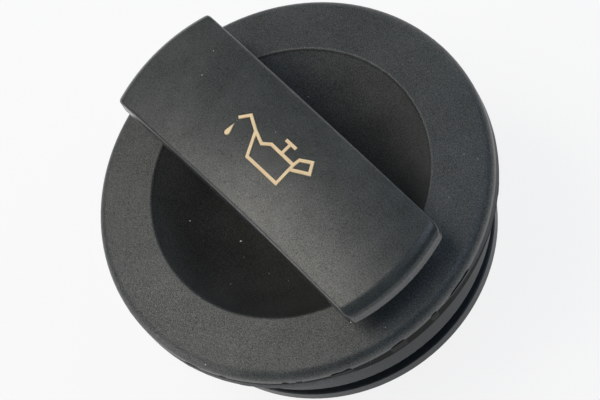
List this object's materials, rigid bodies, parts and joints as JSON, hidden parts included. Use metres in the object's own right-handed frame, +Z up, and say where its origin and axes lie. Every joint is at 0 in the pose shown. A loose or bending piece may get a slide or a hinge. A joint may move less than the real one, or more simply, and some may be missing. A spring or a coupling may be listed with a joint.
{
  "type": "oil filler cap",
  "caption": "Round moulded oil filler cap with a dished top, an arched grip bar, a welded collar, bayonet lugs and a rubber sealing ring.",
  "frame": {"origin": "on the cap's axis, on the plane where the gasket lip meets the filler neck", "axes": "+Z up the cap's axis, out of the engine; +X along the grip"},
  "size_m": [0.072, 0.072, 0.0535],
  "materials": {
    "grip_plastic": "fine-grained satin black",
    "shell_plastic": "fine-grained satin black",
    "base_plastic": "smooth satin black",
    "seal_rubber": "smooth black rubber"
  },
  "bodies": {
    "root": {"grip_plate": "grip_plastic", "top_shell": "shell_plastic", "bayonet_base": "base_plastic", "gasket": "seal_rubber"}
  },
  "joints": []
}
